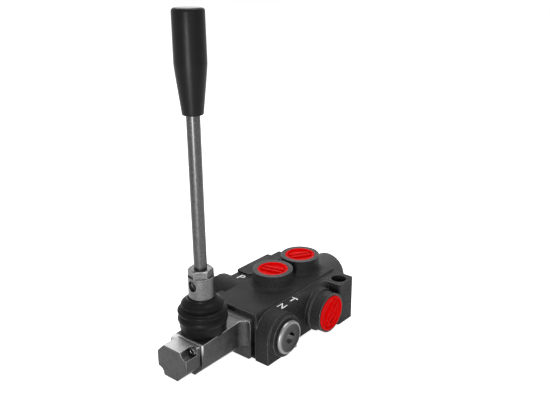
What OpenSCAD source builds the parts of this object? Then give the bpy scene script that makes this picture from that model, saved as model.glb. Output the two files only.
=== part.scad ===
// Monoblock hydraulic directional control valve, one section, hand lever.
// +Z up, the spool lies along Y, the lever box is at -Y and the spring cap at +Y.
// Origin: on the base face, under the point where the spool axis meets port A's axis.

/* [Casting] */
// Height of the top face above the base face
body_h = 40; // [39:0.5:44]
// Height of the spool axis above the base face
spool_z = 20; // [19.5:0.5:21]
// From port A's axis to the front seat of the lever box
front_l = 53; // [52:1:58]
// From port A's axis to the back face
back_l = 54; // [54:1:60]
// Reach of the core to the left of the spool axis
core_left = 21; // [20:0.5:23]
// Reach of the core to the right of the spool axis
core_right = 26.5; // [25:0.5:28]
// Drop of the right-hand strip below the top face
strip_drop = 1.5; // [1:0.25:2]
// Reach of the shelf under the right-hand strip
shelf_x = 36; // [35:0.5:38]
// Reach of the recessed wall below the shelf
recess_x = 32.5; // [30:0.5:35]
// Reach of the relief valve housing on the left
left_x = 38.5; // [38:0.5:41]
// Height of the raised cast pad on the top face
pad_h = 2; // [1:0.5:3]
// Radius of the cast edges
cast_r = 2; // [1:0.5:3]

/* [Ports] */
// Outer radius of a port boss
boss_r = 17; // [16:0.25:17.25]
// Rise of the two working port bosses above the top face
boss_rise = 13; // [10:0.5:16]
// Distance between the two working ports
port_pitch = 38; // [37:0.5:39]
// Radius of the threaded port bore
port_r = 9.6; // [9:0.1:10]
// Depth of the threaded port bore below the boss face
port_depth = 16; // [14:0.5:17]
// Radius of the sealing recess in the working port bosses
spot_r = 13.2; // [12.5:0.1:13.6]
// Radius of the sealing recess in the return port boss
return_spot_r = 14.4; // [14:0.1:14.6]
// Depth of the sealing recess
spot_d = 2.6; // [2:0.1:3.2]
// Fillet where a boss stands on the casting
boss_fillet = 3; // [2:0.5:3.5]
// Place of the return port T along the spool
return_y = 16.5; // [16:0.25:17]
// Place of the carry-over port N along the spool, towards the lever
carry_y = 36.2; // [36:0.1:36.5]
// Place of the pressure port P along the spool, towards the lever
pressure_y = 18.5; // [18:0.25:19]
// Reach of the return port face
return_x = 49.5; // [48:0.5:52]
// Reach of the carry-over port face
carry_x = 44; // [43:0.5:46]
// Reach of the pressure port face
pressure_x = 51.5; // [50:0.5:54]
// Reach of the two port blocks on the right
block_x = 39.5; // [39.5:0.5:41]
// Reach of the pressure port block on the left
pressure_block_x = 47; // [45:0.5:48]

/* [Mounting] */
// Radius of the mounting holes
mount_r = 4.5; // [4:0.25:5]
// Radius of the recess for the screw head
mount_head_r = 6.75; // [6.25:0.25:7]
// Depth of the recess for the screw head in the tall lug
mount_head_d = 9; // [6:0.5:12]
// Reach of the tall lug on the right
lug_x = 46.5; // [46:0.5:49]
// Length of the tall lug along the spool
lug_l = 21.5; // [19:0.5:22]
// Height of the low lug on the left
low_lug_h = 13; // [10:0.5:16]
// Reach of the low lug on the left
low_lug_x = 38; // [37.5:0.5:40]

/* [Spool] */
// Radius of the spool lands
spool_r = 9; // [8.8:0.1:9.2]
// Radius of the spool necks
neck_r = 5.5; // [5:0.25:6]
// Running clearance of the spool in its bore
spool_gap = 0.02; // [0.01:0.01:0.04]
// Depth of the annular galleries around the spool bore
gallery_d = 4.5; // [4:0.25:5]
// Cover of a land over its gallery in neutral
land_cover = 1.5; // [1.25:0.25:1.75]
// Opening of a gallery at full stroke
land_open = 1.2; // [1:0.1:1.4]
// Radius of the seals at the ends of the spool bore
seal_r = 13; // [12.5:0.1:13.4]
// Length of a spool seal
seal_l = 3.5; // [3:0.1:4]

/* [Lever box] */
// Half width of the lever box
box_r = 17; // [16.5:0.25:17.5]
// Height of the top of the lever box at the flange, above the base face
box_top_rear = 35.7; // [35:0.1:37]
// Height of the top of the lever box at its front
box_top_front = 32.7; // [32:0.1:34]
// Height of the underside of the lever box above the base face
box_foot = 4.5; // [3.5:0.5:5.5]
// Size of the lower right cut corner of the lever box
box_cut_low = 9; // [7:0.5:10]
// Size of the upper left cut corner of the lever box
box_cut_high = 7.5; // [6:0.5:9]
// Length of the lever box from its seat to its front face
box_l = 50.5; // [50:0.5:56]
// Distance from the front face of the lever box to the lever's axis
lever_in = 19; // [18.5:0.25:20]
// Half width of the lever box flange
flange_x = 24.5; // [24:0.25:25]
// Thickness of the lever box flange
flange_t = 5; // [4:0.5:7]
// Gap between the flange and the base face
flange_inset = 1.5; // [1:0.25:2.5]
// Radius of the bore of the lever box
box_bore_r = 11.5; // [11:0.1:12]
// Radius of the turret that carries the boot
turret_r = 14.2; // [13.8:0.1:14.6]
// Height of the turret above the lever's pivot
turret_h = 5; // [4.5:0.5:6]
// Half width of the end cap
cover_half = 15.5; // [15:0.25:16]
// Height of the top of the end cap above the base face
cover_high = 32.4; // [32:0.1:32.5]
// Height of the underside of the end cap above the base face
cover_low = 5.5; // [5:0.25:6.5]
// Length of the end cap
cap_l = 14.2; // [12:0.1:16]

/* [Lever] */
// Length of the lever's lower arm, from its pin to the spool axis
arm_l = 19; // [18.5:0.25:19.5]
// Largest swing of the lever each way
swing = 19; // [15:0.5:19]
// Radius of the pivot pin
pin_r = 3.5; // [3:0.25:3.75]
// Running clearance of pins and pivots
pin_gap = 0.03; // [0.02:0.01:0.06]
// Radius of the ball at the end of the lower arm
ball_r = 4.5; // [4:0.1:4.6]
// Radius of the lever rod
rod_r = 5; // [4.5:0.25:5]
// Radius of the head block
head_r = 10.1; // [9.4:0.1:10.5]
// Height of the head block's underside above the base face
head_z = 57; // [56:0.5:59]
// Height of the head block
head_h = 22; // [18:0.5:24]
// Width across the flats of the jam nut
nut_af = 17; // [16:0.5:18]
// Height of the jam nut
nut_h = 6; // [5:0.5:10]
// Height of the underside of the grip above the base face
grip_z = 201; // [190:1:220]
// Length of the grip
grip_l = 71; // [60:0.5:80]
// Height of the grip's shoulder above its underside
grip_shoulder = 34.5; // [30:0.5:40]
// Radius of the grip at its underside
grip_low_r = 7.7; // [7.2:0.1:9]
// Radius of the grip at its shoulder
grip_mid_r = 11.4; // [10.5:0.1:13]
// Radius of the grip below its rounded top
grip_top_r = 11.2; // [10:0.1:12.5]
// Largest radius of the rubber boot
boot_r = 19.4; // [18.8:0.1:20]

/* [Spring cap] */
// Outer radius of the spring cap
spring_cap_r = 18.2; // [17.5:0.1:18.6]
// Length of the spring cap
spring_cap_l = 29.7; // [29:0.1:34]
// Wall of the spring cap
spring_cap_t = 3.2; // [2.5:0.1:3.6]
// Wire radius of the centring spring
wire_r = 1.1; // [0.8:0.1:1.2]

/* [Relief and check valves] */
// Place of the relief valve to the left of the spool axis
relief_x = 29.5; // [29:0.25:30]
// Height of the relief valve axis above the base face
relief_z = 19.5; // [19:0.25:20]
// Radius of the relief valve thread
relief_r = 9; // [8.5:0.1:9.2]
// Depth of the relief valve cavity
relief_depth = 26; // [25:0.5:27]
// Distance of the relief cap's end from the back face
relief_reach = 45.6; // [44:0.1:50]
// Radius of the relief cap
relief_cap_r = 9.2; // [9:0.1:10]
// Place of the load check valve along the spool
check_y = 13.5; // [13:0.25:14]
// Radius of the load check chamber
check_r = 7; // [6.5:0.1:7.2]

/* [Hidden] */
$fn = 96;

eps = 0.05;
seat_gap = 0.02;
soft_gap = 0.25;
strip_z = body_h - strip_drop;
block_r = strip_z - spool_z;
pressure_block_r = body_h - spool_z;
boss_z = body_h + boss_rise;
carry = -carry_y;
pressure = -pressure_y;
front = -front_l;
box_front = front - box_l;
lever = box_front + lever_in;
bore_r = spool_r + spool_gap;
gallery_r = spool_r + gallery_d;
stroke = arm_l * swing * PI / 180;
throat_half = 7;
shelf_r = 5;
pad_gap = 1.5;
pad_front = -4;
pad_back = 15;
lug_hole_in = 8;

// Annular galleries: centre and width along the spool
carry_gallery = [carry, 7];
pressure_gallery = [pressure - 7, 6];
front_bridge = [-9.75, 4.5];
port_a_gallery = [0, 6];
return_gallery = [return_y, 7];
port_b_gallery = [port_pitch - 6.5, 6];
rear_bridge = [port_pitch + 1.75, 3.5];
galleries = [
    carry_gallery, pressure_gallery, front_bridge, port_a_gallery,
    return_gallery, port_b_gallery, rear_bridge
];
function low_edge(g) = g[0] - g[1] / 2;
function high_edge(g) = g[0] + g[1] / 2;

// Necks of the spool, cut between its lands: start and end
necks = [
    [high_edge(carry_gallery) - land_cover, low_edge(pressure_gallery) + land_cover],
    [high_edge(front_bridge) - land_open - stroke, low_edge(port_a_gallery) - land_cover],
    [high_edge(port_a_gallery) + land_cover, low_edge(port_b_gallery) - land_cover],
    [high_edge(port_b_gallery) + land_cover, low_edge(rear_bridge) + land_open + stroke]
];
notch_r = 1.5;
notch_turn = 45;
notch_count = 4;

// Ends of the spool and what screws onto them
spool_front = lever + 18.5;
stub_r = 5;
stub_l = 8;
tongue_r = spool_r - 0.5;
tongue_front = lever - 8.5;
tongue_flat_z = spool_z + 4.5;
tongue_flat_half = 7;
slot_r = ball_r + 0.35;
slot_depth = 5.5;
seal_seat = front + 5.5;
rear_seal_y = back_l - seal_l;
spool_rear = back_l + stroke + 0.4;
seat_t = 2;
seat_r = 12.5;
seat_hub_r = 8.5;
bolt_r = 4;
bolt_head_r = 6;
bolt_head_l = 3;
bolt_key_af = 5;
bolt_reach = 14;
spring_l = 9;
spring_r = seat_r - wire_r - 0.4;
spring_turns = 4;
pack_end = spool_rear + seat_t + spring_l + seat_t;

// Lever box
flange_low = flange_inset;
flange_high = box_top_rear + 0.3;
flange_round = 3;
flange_fillet = 7;
pivot_z = spool_z + arm_l;
turret_top = pivot_z + turret_h;
turret_bore_r = 10.5;
box_screw_x = -20.75;
box_screw_inset = 6;
screw_r = 2.5;
screw_head_r = 4.2;
screw_head_l = 3.5;
screw_key_af = 4;
screw_l = 10;
end_seal_t = 0.8;
spigot_l = 8;
spigot_bore_r = 9.2;
cover_cut_low = 10.5;
cover_cut_high = 7.8;
cover_ear_t = 3.2;
cover_notch_r = 5.2;
cover_notch_in = 0.7;
cover_screw_in = 1.9;
cover_screw_r = 1.5;
cover_screw_head_r = 2.75;
cover_screw_head_l = 3;
cover_key_af = 2.5;
cover_screw_l = 7;
pad_reach = 25;
pad_l = 14;

// Lever
arm_neck_r = 2.75;
hub_r = 7.5;
hub_half = 6.5;
pin_half = turret_r - 1;
stud_top = head_z + 9;
head_round = 1.5;
head_hole_r = 4.25;
head_hole_rim = 0.5;
head_hole_top = 1.4;
head_hole_z = head_z + head_h - head_hole_top - head_hole_rim - head_hole_r;
head_hole_depth = 4.2;
nut_z = head_z + head_h;
nut_turn = 43;
nut_face_r = nut_af / 2 - 0.3;
nut_slope = 30;
rod_foot = stud_top + 0.2;
rod_top = grip_z + 40;
grip_round = 2.5;
grip_waist = 17;
grip_waist_r = (grip_low_r + grip_mid_r) / 2 + 0.1;
boot_top = head_z + 5;
boot_neck = head_r + 1.3;
boot_foot = box_top_front - 0.7;
boot_folds_h = boot_top - 1.8 - boot_foot;
boot_bore_low = 12.6;
boot_bore_top = 12;

// Outline of the boot: distance inside its largest radius, and share of the folds' height
boot_outline = [
    [2.6, 0], [1.4, 0.19], [0.9, 0.35], [0, 0.42], [1.8, 0.56], [0.1, 0.65], [4.4, 0.76], [3, 0.84]
];

// Rear spring cap
ear_off = 14.5;
ear_r = 5;
ear_l = 6;
ear_neck = 1;
ear_turn = -45;
cap_round = 2;

// Passages inside the casting
channel_r = 4;
channel_x = -19.5;
bridge_x = -25;
bridge_z = 33;
passage = 4;
return_passage_z = 9;
return_passage_x = -29;
return_passage_in = 7;
tank_channel_x = 20;
check_seat_x = -24;
check_seat_r = 4;
check_key_af = 6;
check_key_d = 4;
check_plug_l = 6;
check_spring_r = 3.4;
check_wire_r = 0.45;
check_spring_turns = 3;
poppet_seat_x = check_seat_x - 2;
poppet_tip_r = check_seat_r - 0.5;
poppet_tip_l = 2.5;
poppet_l = 4.5;
poppet_bore_r = 4.2;
poppet_bore_l = 3;
relief_seat_y = back_l - relief_depth;
relief_inlet_r = 2.5;
relief_bore_r = 4.5;
relief_hex_af = 17;
relief_seal_t = 1.5;
relief_seal_r = relief_r + 1.5;
relief_hex_l = 6.5;
relief_nose_r = 7;
relief_nose_l = 8;
relief_wall = 3;
relief_hole_y = 5;
relief_hole_r = 1.5;
relief_cone_l = 2;
relief_cone_r = relief_inlet_r + 0.4;
relief_wire_r = 0.6;
relief_spring_turns = 4;
relief_screw_in = 8;
relief_poppet_l = 5;
relief_spring_l = 10;
relief_nut_af = 13;
relief_nut_l = 5;
relief_cap_wall = 1.2;

// Plugs
plug_l = 10;
plug_lip = 2.6;
plug_recess_d = 1.6;
plug_bar = 3;
plug_bar_pitch = 5.2;
plug_gap = 0.1;
return_plug_gap = 0.15;
plug_turn_a = 12;
plug_turn_b = 58;
plug_turn_p = 70;
plug_turn_t = 138;
steel_plug_r = 13.9;
steel_plug_t = 2.6;
washer_t = 1;
washer_r = 12.4;
socket_af = 10;
socket_d = 7;

// A cylinder along X from x0 to x1 at y, z
module along_x(x0, x1, r, y, z) {
    translate([x0, y, z]) rotate([0, 90, 0]) cylinder(r = r, h = x1 - x0);
}

// A cylinder along Y from y0 to y1 at x, z
module along_y(y0, y1, r, x, z) {
    translate([x, y1, z]) rotate([90, 0, 0]) cylinder(r = r, h = y1 - y0);
}

// A hexagon of width af across its flats, with flats up and down, along Y
module hex_along_y(y0, y1, af, x, z) {
    translate([x, y1, z]) rotate([90, 0, 0]) cylinder(r = af / sqrt(3), h = y1 - y0, $fn = 6);
}

// A block between two opposite corners
module block(low, high) {
    translate(low) cube(high - low);
}

// A plate with all four corners round
module round_plate(x0, x1, y0, y1, r) {
    translate([x0 + r, y0]) square([x1 - x0 - 2 * r, y1 - y0]);
    translate([x0, y0 + r]) square([x1 - x0, y1 - y0 - 2 * r]);
    for (x = [x0 + r, x1 - r], y = [y0 + r, y1 - r]) translate([x, y]) circle(r = r);
}

// A section with a flat foot and round upper corners
module cast_section(x0, x1, h, r) {
    translate([x0, 0]) square([x1 - x0, h - r]);
    translate([x0 + r, 0]) square([x1 - x0 - 2 * r, h]);
    for (x = [x0 + r, x1 - r]) translate([x, h - r]) circle(r = r);
}

// Extrudes a profile drawn in X and Z along Y from y0 to y1
module extrude_y(y0, y1) {
    translate([0, y1, 0]) rotate([90, 0, 0]) linear_extrude(y1 - y0) children();
}

// A round boss along its own Z with a hollow fillet at its foot
module boss(r, h) {
    cylinder(r = r, h = h);
    rotate_extrude() difference() {
        translate([r - eps, 0]) square([boss_fillet + eps, boss_fillet]);
        translate([r + boss_fillet, boss_fillet]) circle(r = boss_fillet);
    }
}

// Sealing recess and threaded bore of a port, cut down its own -Z
module port_cut(recess_r) {
    translate([0, 0, -spot_d]) cylinder(r = recess_r, h = spot_d + 1);
    translate([0, 0, -port_depth]) cylinder(r = port_r, h = port_depth);
}

module to_port_a() { translate([0, 0, boss_z]) children(); }
module to_port_b() { translate([0, port_pitch, boss_z]) children(); }
module to_port_t() { translate([return_x, return_y, spool_z]) rotate([0, 90, 0]) children(); }
module to_port_n() { translate([carry_x, carry, spool_z]) rotate([0, 90, 0]) children(); }
module to_port_p() { translate([-pressure_x, pressure, spool_z]) rotate([0, -90, 0]) children(); }

// Core of the casting with the right-hand shelf and the left-hand housing
module casting_core() {
    extrude_y(front, back_l) cast_section(-core_left, core_right, body_h, cast_r);
    extrude_y(front, front + pad_l) cast_section(-pad_reach, 0, body_h, cast_r);
    extrude_y(carry, back_l) {
        polygon([
            [core_right - cast_r, 0], [recess_x, 0], [shelf_x, spool_z],
            [shelf_x, strip_z - shelf_r], [shelf_x - shelf_r, strip_z], [core_right - cast_r, strip_z]
        ]);
        translate([shelf_x - shelf_r, strip_z - shelf_r]) circle(r = shelf_r);
    }
    extrude_y(pressure, back_l) cast_section(-left_x, 0, body_h, cast_r);
    translate([0, 0, body_h - eps]) linear_extrude(pad_h + eps)
        round_plate(-left_x, -core_left - pad_gap, pad_front, back_l - pad_back, cast_r);
}

// Blocks that carry the side ports
module port_blocks() {
    along_x(core_right - eps, block_x, block_r, carry, spool_z);
    block([core_right - eps, carry - block_r, 0], [block_x, carry + block_r, spool_z]);
    along_x(core_right - cast_r, block_x, block_r, return_y, spool_z);
    along_x(-pressure_block_x, channel_x, pressure_block_r, pressure, spool_z);
    block([-pressure_block_x, pressure - pressure_block_r, 0],
        [channel_x, pressure + pressure_block_r, spool_z]);
}

// The five round port bosses
module port_bosses() {
    for (y = [0, port_pitch]) translate([0, y, body_h]) boss(boss_r, boss_rise);
    along_x(block_x - eps, return_x, boss_r, return_y, spool_z);
    along_x(block_x - eps, carry_x, boss_r, carry, spool_z);
    along_x(-pressure_x, eps - pressure_block_x, boss_r, pressure, spool_z);
}

// The tall lug at the back right and the low lug at the front left
module lugs() {
    linear_extrude(strip_z) round_plate(core_right, lug_x, back_l - lug_l, back_l, cast_r);
    linear_extrude(low_lug_h)
        round_plate(-low_lug_x, 0, front, pressure, cast_r);
}

module to_tall_lug() { translate([lug_x - lug_hole_in, back_l - lug_l / 2, 0]) children(); }
module to_low_lug() { translate([-low_lug_x + lug_hole_in, front + lug_hole_in, 0]) children(); }

// Spool bore with its annular galleries and its seal seats
module spool_bore_cut() {
    along_y(front - 1, back_l + 1, bore_r, 0, spool_z);
    for (g = galleries) along_y(low_edge(g), high_edge(g), gallery_r, 0, spool_z);
    along_y(front - 1, seal_seat, seal_r, 0, spool_z);
    along_y(rear_seal_y, back_l + 1, seal_r, 0, spool_z);
}

// Cored throats between the galleries and the port bores
module throat_cuts() {
    for (g = [port_a_gallery, port_b_gallery])
        block([-throat_half, low_edge(g), spool_z + spool_r + 2],
            [throat_half, high_edge(g), boss_z - port_depth + 1]);
    for (end = [[return_gallery, return_x], [carry_gallery, carry_x]])
        block([spool_r + 2, low_edge(end[0]), spool_z - throat_half],
            [end[1] - port_depth + 1, high_edge(end[0]), spool_z + throat_half]);
    block([-pressure_x + port_depth - 1, low_edge(pressure_gallery), spool_z - throat_half],
        [-spool_r - 2, high_edge(pressure_gallery), spool_z + throat_half]);
}

// Channels that join the galleries to the check and relief valves
module channel_cuts() {
    along_y(pressure_gallery[0], relief_seat_y - passage, channel_r, channel_x, spool_z);
    along_y(carry, return_y, channel_r, tank_channel_x, spool_z);
    block([bridge_x - passage / 2, front_bridge[0], bridge_z - passage / 2],
        [bridge_x + passage / 2, rear_bridge[0], bridge_z + passage / 2]);
    for (g = [front_bridge, rear_bridge])
        block([bridge_x - passage / 2, low_edge(g), bridge_z - passage / 2],
            [-passage, high_edge(g), bridge_z + passage / 2]);
    block([bridge_x - passage / 2, check_y - passage, spool_z],
        [bridge_x + passage / 2, check_y + passage, bridge_z]);
    along_x(-relief_x, channel_x, relief_inlet_r, relief_seat_y - passage, relief_z);
    along_y(relief_seat_y - passage, relief_seat_y + 1, relief_inlet_r, -relief_x, relief_z);
    block([return_passage_x - passage / 2, return_y, return_passage_z - passage / 2],
        [return_passage_x + passage / 2, relief_seat_y + return_passage_in, return_passage_z + passage / 2]);
    block([return_passage_x, return_y - passage / 2, return_passage_z - passage / 2],
        [0, return_y + passage / 2, return_passage_z + passage / 2]);
}

// Load check chamber and relief valve cavity
module valve_cuts() {
    along_x(-left_x - 1, check_seat_x, check_r, check_y, spool_z);
    along_x(check_seat_x - 1, channel_x, check_seat_r, check_y, spool_z);
    along_y(relief_seat_y, back_l + 1, relief_r + seat_gap, -relief_x, relief_z);
}

module to_box_screws() {
    for (z = [flange_low + box_screw_inset, flange_high - box_screw_inset])
        translate([box_screw_x, 0, z]) children();
}

module to_ears() {
    for (side = [-1, 1]) translate([side * ear_off, back_l, spool_z - side * ear_off]) children();
}

module body() {
    color([0.13, 0.13, 0.13]) difference() {
        union() {
            casting_core();
            port_blocks();
            port_bosses();
            lugs();
        }
        spool_bore_cut();
        throat_cuts();
        channel_cuts();
        valve_cuts();
        to_port_a() port_cut(spot_r);
        to_port_b() port_cut(spot_r);
        to_port_t() port_cut(return_spot_r);
        to_port_p() port_cut(spot_r);
        to_port_n() translate([0, 0, -port_depth]) cylinder(r = port_r, h = port_depth + 1);
        to_box_screws() along_y(front - 1, front + screw_l, screw_r, 0, 0);
        to_ears() along_y(-screw_l, 1, screw_r, 0, 0);
        to_tall_lug() translate([0, 0, -1]) cylinder(r = mount_r, h = body_h);
        to_tall_lug() translate([0, 0, strip_z - mount_head_d])
            cylinder(r = mount_head_r, h = mount_head_d + 1);
        to_low_lug() translate([0, 0, -1]) cylinder(r = mount_r, h = low_lug_h + 2);
    }
}

// Four throttling notches on one shoulder of a land
module notches(y) {
    for (k = [0:notch_count - 1])
        translate([0, y, spool_z]) rotate([0, k * 360 / notch_count + notch_turn, 0])
        translate([0, 0, spool_r]) rotate([0, 90, 0]) translate([0, 0, -notch_r])
        cylinder(r = notch_r, h = 2 * notch_r);
}

// Cut of one neck between two lands
module neck_cut(a, b) {
    difference() {
        along_y(a, b, spool_r + 1, 0, spool_z);
        along_y(a - 1, b + 1, neck_r, 0, spool_z);
    }
}

module spool() {
    color([0.72, 0.73, 0.75]) difference() {
        union() {
            along_y(spool_front, spool_rear, spool_r, 0, spool_z);
            along_y(spool_front - stub_l, spool_front, stub_r, 0, spool_z);
        }
        for (n = necks) {
            neck_cut(n[0], n[1]);
            notches(n[0]);
            notches(n[1]);
        }
        along_y(spool_rear - bolt_reach, spool_rear + 1, bolt_r, 0, spool_z);
    }
}

module spool_tongue() {
    color([0.5, 0.51, 0.53]) difference() {
        along_y(tongue_front, spool_front, tongue_r, 0, spool_z);
        along_y(spool_front - stub_l, spool_front + 1, stub_r, 0, spool_z);
        translate([0, lever, spool_z - slot_depth]) cylinder(r = slot_r, h = 2 * tongue_r);
        block([-tongue_r - 1, lever - tongue_flat_half, tongue_flat_z],
            [tongue_r + 1, lever + tongue_flat_half, spool_z + tongue_r + 1]);
    }
}

module stem_bolt() {
    color([0.4, 0.4, 0.42]) difference() {
        union() {
            along_y(spool_rear - bolt_reach + 1, pack_end, bolt_r, 0, spool_z);
            along_y(pack_end - bolt_head_l, pack_end, bolt_head_r, 0, spool_z);
        }
        hex_along_y(pack_end - bolt_head_l / 2, pack_end + 1, bolt_key_af, 0, spool_z);
    }
}

module inner_spring_seat() {
    color([0.45, 0.46, 0.48]) difference() {
        union() {
            along_y(spool_rear, spool_rear + seat_t, seat_r, 0, spool_z);
            along_y(spool_rear, spool_rear + 2 * seat_t, seat_hub_r - 1, 0, spool_z);
        }
        along_y(spool_rear - 1, spool_rear + 2 * seat_t + 1, bolt_r + seat_gap, 0, spool_z);
    }
}

module outer_spring_seat() {
    color([0.45, 0.46, 0.48]) difference() {
        union() {
            along_y(pack_end - seat_t, pack_end, seat_r, 0, spool_z);
            along_y(pack_end - bolt_head_l - seat_t, pack_end, seat_hub_r, 0, spool_z);
        }
        along_y(spool_rear, pack_end, bolt_r + seat_gap, 0, spool_z);
        along_y(pack_end - bolt_head_l, pack_end + 1, bolt_head_r + seat_gap, 0, spool_z);
    }
}

// A coil spring along its own Z: mean radius r, wire radius w, length l, n turns
coil_steps = 20;
coil_sides = 8;
module coil(r, w, l, n) {
    rise = l - 2 * w;
    count = n * coil_steps;
    points = [
        for (i = [0:count], j = [0:coil_sides - 1])
            let (a = i * 360 / coil_steps, b = j * 360 / coil_sides, q = r + w * cos(b))
                [q * cos(a), q * sin(a), w + rise * i / count + w * sin(b)]
    ];
    skin = [
        for (i = [0:count - 1], j = [0:coil_sides - 1])
            let (k = (j + 1) % coil_sides, p = i * coil_sides, q = p + coil_sides)
                [p + j, p + k, q + k, q + j]
    ];
    first = [for (j = [0:coil_sides - 1]) coil_sides - 1 - j];
    last = [for (j = [0:coil_sides - 1]) count * coil_sides + j];
    polyhedron(points = points, faces = concat(skin, [first], [last]));
}

module centring_spring() {
    color([0.55, 0.56, 0.58]) translate([0, spool_rear + seat_t + spring_l, spool_z])
        rotate([90, 0, 0]) coil(spring_r, wire_r, spring_l, spring_turns);
}

module front_spool_seal() {
    color([0.05, 0.05, 0.05]) difference() {
        along_y(seal_seat - seal_l, seal_seat, seal_r, 0, spool_z);
        along_y(front - 1, seal_seat + 1, bore_r, 0, spool_z);
    }
}

module rear_spool_seal() {
    color([0.05, 0.05, 0.05]) difference() {
        along_y(rear_seal_y, back_l, seal_r, 0, spool_z);
        along_y(rear_seal_y - 1, back_l + 1, bore_r, 0, spool_z);
    }
}

// Outline of the lever box in X and Z, with two opposite corners cut off
module cut_outline(half, low, high, cut_low, cut_high) {
    polygon([
        [-half, low], [half - cut_low, low], [half, low + cut_low],
        [half, high], [cut_high - half, high], [-half, high - cut_high]
    ]);
}

// The lever box without its flange: its top falls towards the front
module box_block() {
    difference() {
        extrude_y(box_front, front)
            cut_outline(box_r, box_foot, box_top_rear, box_cut_low, box_cut_high);
        translate([-box_r - 1, 0, 0]) rotate([90, 0, 90]) linear_extrude(2 * box_r + 2) polygon([
            [box_front - 1, box_top_front], [front, box_top_rear],
            [front, box_top_rear + box_r], [box_front - 1, box_top_rear + box_r]
        ]);
    }
}

// Hollow fillets between the sides of the lever box and its flange
module flange_blend() {
    for (side = [0, 1]) mirror([side, 0, 0])
        translate([box_r - eps, front - flange_t, box_foot + (1 - side) * box_cut_low]) mirror([0, 1, 0])
            linear_extrude(box_top_rear - box_foot - box_cut_low - side * eps) difference() {
                square([flange_fillet + eps, flange_fillet]);
                translate([flange_fillet + eps, flange_fillet]) circle(r = flange_fillet);
            }
}

module to_cover_screws() {
    for (side = [-1, 1])
        translate([side * (cover_half - cover_screw_in), box_front,
            (side > 0 ? cover_high - cover_screw_in : cover_low + cover_screw_in)]) children();
}

module lever_box() {
    color([0.55, 0.56, 0.57]) difference() {
        union() {
            extrude_y(front - flange_t, front)
                round_plate(-flange_x, flange_x, flange_low, flange_high, flange_round);
            box_block();
            flange_blend();
            translate([0, lever, spool_z]) cylinder(r = turret_r, h = turret_top - spool_z);
        }
        along_y(box_front - 1, front + 1, box_bore_r, 0, spool_z);
        translate([0, lever, spool_z]) cylinder(r = turret_bore_r, h = body_h);
        along_x(-pin_half, pin_half, pin_r, lever, pivot_z);
        to_box_screws() along_y(front - flange_t - 1, front + 1, screw_r + seat_gap, 0, 0);
        to_box_screws() along_y(front - flange_t - flange_fillet - 1, front - flange_t,
            screw_head_r + seat_gap, 0, 0);
        to_cover_screws() along_y(-1, cover_screw_l, cover_screw_r, 0, 0);
    }
}

module box_screws() {
    color([0.3, 0.3, 0.31]) to_box_screws() difference() {
        union() {
            along_y(front - flange_t, front + screw_l - 1, screw_r - seat_gap, 0, 0);
            along_y(front - flange_t - screw_head_l, front - flange_t, screw_head_r, 0, 0);
        }
        hex_along_y(front - flange_t - screw_head_l - 1, front - flange_t - 1, screw_key_af, 0, 0);
    }
}

module cap_outline() {
    cut_outline(cover_half, cover_low, cover_high, cover_cut_low, cover_cut_high);
}

// The end cap: a block with two scalloped corners over its screws, and a hollow spigot
module box_end_cap() {
    seat = box_front - end_seal_t;
    color([0.6, 0.61, 0.62]) difference() {
        union() {
            extrude_y(seat - cap_l, seat) cap_outline();
            along_y(seat - 1, box_front + spigot_l, box_bore_r - seat_gap, 0, spool_z);
        }
        along_y(box_front - cap_l / 2, box_front + spigot_l + 1, spigot_bore_r, 0, spool_z);
        for (side = [-1, 1])
            along_y(seat - cap_l - 1, seat - cover_ear_t, cover_notch_r,
                side * (cover_half - cover_notch_in),
                (side > 0 ? cover_high - cover_notch_in : cover_low + cover_notch_in));
        to_cover_screws() along_y(-cap_l, 1, cover_screw_r + seat_gap, 0, 0);
    }
}

module end_cap_screws() {
    head = -end_seal_t - cover_ear_t;
    color([0.3, 0.3, 0.31]) to_cover_screws() difference() {
        union() {
            along_y(head, cover_screw_l - 0.5, cover_screw_r - seat_gap, 0, 0);
            along_y(head - cover_screw_head_l, head, cover_screw_head_r, 0, 0);
        }
        hex_along_y(head - cover_screw_head_l - 1, head - 1, cover_key_af, 0, 0);
    }
}

module end_cap_seal() {
    color([0.05, 0.05, 0.05]) difference() {
        extrude_y(box_front - end_seal_t, box_front) cap_outline();
        along_y(box_front - 2, box_front + 1, box_bore_r, 0, spool_z);
        to_cover_screws() along_y(-cap_l, 1, cover_screw_r + seat_gap, 0, 0);
    }
}

module lever_pin() {
    color([0.6, 0.6, 0.62]) along_x(-pin_half, pin_half, pin_r, lever, pivot_z);
}

module lever_arm() {
    color([0.55, 0.55, 0.57]) difference() {
        union() {
            translate([0, lever, spool_z]) sphere(r = ball_r);
            translate([0, lever, spool_z]) cylinder(r = arm_neck_r, h = arm_l);
            along_x(-hub_half, hub_half, hub_r, lever, pivot_z);
            translate([0, lever, pivot_z]) cylinder(r = rod_r, h = stud_top - pivot_z);
        }
        along_x(-hub_half - 1, hub_half + 1, pin_r + pin_gap, lever, pivot_z);
    }
}

// The rubber boot: three folds, open underneath and closed on the head
module lever_boot() {
    color([0.06, 0.06, 0.06]) difference() {
        translate([0, lever, 0]) rotate_extrude() polygon([
            [turret_r, boot_foot],
            for (p = boot_outline) [boot_r - p[0], boot_foot + p[1] * boot_folds_h],
            [boot_neck, boot_foot + boot_folds_h], [boot_neck, boot_top], [head_r, boot_top],
            [head_r, head_z - soft_gap], [boot_bore_top, head_z - soft_gap],
            [boot_bore_low, turret_top + soft_gap], [turret_r, turret_top + soft_gap]
        ]);
        box_block();
    }
}

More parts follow.
